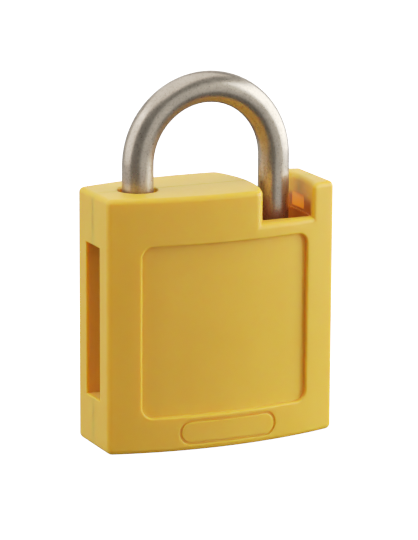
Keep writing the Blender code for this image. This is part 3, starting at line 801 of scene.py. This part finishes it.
def steel(name, colour, rough, streaks):
    """Satin steel with stains, fine dark specks and drawn lines."""
    made, tree, shader = new_material(name)
    shader.inputs["Metallic"].default_value = 0.86
    dark = tuple(STAIN_SHADE * part for part in colour)
    stain = ramp(tree, noise(tree, 260.0, 5.0, 0.6), [(0.35, dark), (0.65, colour)])
    specks = ramp(tree, noise(tree, 2600.0, 3.0, 0.7), SPECKS)
    tree.links.new(blend(tree, 1.0, stain, specks, "MULTIPLY"), shader.inputs["Base Color"])
    change = 0.08
    worn = spread(tree, noise(tree, 1500.0, 4.0), rough - change, rough + change)
    tree.links.new(worn, shader.inputs["Roughness"])
    lines = noise(tree, 1.0, 3.0, 0.6, streaks)
    pits = noise(tree, 1800.0, 2.0, 0.5)
    bump(tree, shader, (lines, 0.00003, 0.03), (pits, 0.00003, 0.07))
    return made


def brass_material():
    """Turned brass."""
    made, tree, shader = new_material("turned_brass")
    shader.inputs["Metallic"].default_value = 1.0
    colour = ramp(tree, noise(tree, 300.0, 4.0), BRASS_TARNISH)
    tree.links.new(colour, shader.inputs["Base Color"])
    tree.links.new(spread(tree, noise(tree, 1800.0, 3.0), 0.22, 0.36), shader.inputs["Roughness"])
    bump(tree, shader, (noise(tree, 1.0, 2.0, 0.5, (900.0, 900.0, 9000.0)), 0.00003, 0.3))
    return made


# Studio

def look_at(place, target, roll=0.0):
    """Camera or light matrix that looks from a place to a target, rolled by degrees."""
    ahead = (target - place).normalized()
    right = ahead.cross(Vector((0.0, 0.0, 1.0))).normalized()
    up = right.cross(ahead)
    turn = math.radians(roll)
    right_turned = right * math.cos(turn) + up * math.sin(turn)
    up_turned = up * math.cos(turn) - right * math.sin(turn)
    axes = Matrix((right_turned, up_turned, -ahead)).transposed().to_4x4()
    return Matrix.Translation(place) @ axes


def toward(azimuth, elevation):
    """Direction from the object; degrees to the right of the camera and up."""
    turn = math.radians(azimuth - CAMERA_YAW)
    lift = math.radians(elevation)
    return Vector((math.sin(turn) * math.cos(lift), -math.cos(turn) * math.cos(lift), math.sin(lift)))


def make_camera():
    """Long lens, front left, slightly above."""
    data = bpy.data.cameras.new("camera")
    data.lens = CAMERA_LENS
    data.sensor_width = 36.0
    data.clip_end = 10.0
    camera = bpy.data.objects.new("camera", data)
    bpy.context.scene.collection.objects.link(camera)
    place = CAMERA_TARGET + toward(0.0, CAMERA_PITCH) * CAMERA_DISTANCE
    camera.matrix_world = look_at(place, CAMERA_TARGET, CAMERA_ROLL)
    bpy.context.scene.camera = camera


def softbox(name, azimuth, elevation, distance, width, height, power, colour=WHITE):
    """Area light aimed at the middle of the padlock; degrees, metres and watts."""
    data = bpy.data.lights.new(name, "AREA")
    data.shape = "RECTANGLE"
    data.size = width
    data.size_y = height
    data.energy = power
    data.color = colour
    light = bpy.data.objects.new(name, data)
    bpy.context.scene.collection.objects.link(light)
    light.visible_camera = False
    light.matrix_world = look_at(CAMERA_TARGET + toward(azimuth, elevation) * distance, CAMERA_TARGET)


def white_surface(name):
    """Matt white that glows, for the floor and the backdrop."""
    made, _, shader = new_material(name)
    shader.inputs["Base Color"].default_value = (0.9, 0.9, 0.9, 1.0)
    shader.inputs["Roughness"].default_value = 0.9
    shader.inputs["Specular IOR Level"].default_value = 0.0
    shader.inputs["Emission Color"].default_value = (*WHITE, 1.0)
    shader.inputs["Emission Strength"].default_value = STAGE_GLOW
    return made


def make_surroundings():
    """White floor just under the padlock and a white ball round it all; neither lights the padlock."""
    reach = STAGE_REACH
    floor = box("floor", (-reach, -reach, -FLOOR_THICK), (reach, reach, -FLOOR_GAP))
    floor.data.materials.append(white_surface("white_floor"))
    build = bmesh.new()
    bmesh.ops.create_uvsphere(build, u_segments=64, v_segments=32, radius=BACKDROP_RADIUS)
    dome = object_from(build, "backdrop")
    dome.data.materials.append(white_surface("white_backdrop"))
    for surface in (floor, dome):
        surface.visible_diffuse = False
        surface.visible_glossy = False
        surface.visible_transmission = False
        surface.visible_shadow = False


def film_response():
    """Soft shoulder of a camera, so bright yellow doesn't burn out."""
    view = bpy.context.scene.view_settings
    view.view_transform = "Standard"
    view.use_curve_mapping = True
    mapping = view.curve_mapping
    mapping.clip_max_x = 2.5
    all_colours = mapping.curves[3]
    all_colours.points[0].location = (0.0, 0.0)
    all_colours.points[1].location = (FILM_WHITE, 1.0)
    for bend in FILM_BENDS:
        all_colours.points.new(*bend)
    mapping.update()


def make_world():
    """Dim grey surroundings, darker below."""
    world = bpy.data.worlds.new("studio")
    world.use_nodes = True
    tree = world.node_tree
    background = tree.nodes["Background"]
    where = add(tree, "ShaderNodeTexCoord")
    parts = add(tree, "ShaderNodeSeparateXYZ")
    tree.links.new(where.outputs["Generated"], parts.inputs["Vector"])
    height = add(tree, "ShaderNodeMapRange")
    height.inputs["From Min"].default_value = -1.0
    tree.links.new(parts.outputs["Z"], height.inputs["Value"])
    tree.links.new(ramp(tree, height.outputs["Result"], SKY), background.inputs["Color"])
    bpy.context.scene.world = world


def make_studio():
    """Film, surroundings and softboxes: azimuth, elevation, distance, width, height, power, tint."""
    film_response()
    make_world()
    softbox("left_box", -80, 20, 0.6, 0.64, 0.58, 2.8, WARM)
    softbox("left_fill", -126, 4, 0.6, 0.5, 0.6, 0.5)
    softbox("right_box", 102, 15, 0.6, 0.82, 0.50, 8.8)
    softbox("front_box", 40, 0, 0.6, 0.50, 0.60, 0.8)
    softbox("top_box", -110, 76, 0.7, 1.2, 1.1, 7.4, WARM)
    softbox("back_box", 180, 16, 0.8, 0.7, 0.4, 1.1, WARM)
    make_surroundings()


# The padlock

def dress_cad_nodes(plain, brass):
    """Better materials on the CAD nodes that stay."""
    for name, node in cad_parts.items():
        if node.hide_render:
            continue
        chosen = brass if name in BRASS_NODES else plain
        node.data.materials.clear()
        node.data.materials.append(chosen)


make_camera()
make_studio()
NYLON = nylon()
SHACKLE_STEEL = steel("satin_stainless", SHACKLE_COLOUR, 0.30, (500.0, 500.0, 5000.0))
PLAIN_STEEL = steel("plain_steel", PLAIN_COLOUR, 0.28, (1800.0, 1800.0, 400.0))
BRASS = brass_material()
make_shell("front_body", "front_shell", -1, NYLON)
make_shell("rear_body", "rear_shell", 1, NYLON)
make_shackle(SHACKLE_STEEL)
dress_cad_nodes(PLAIN_STEEL, BRASS)
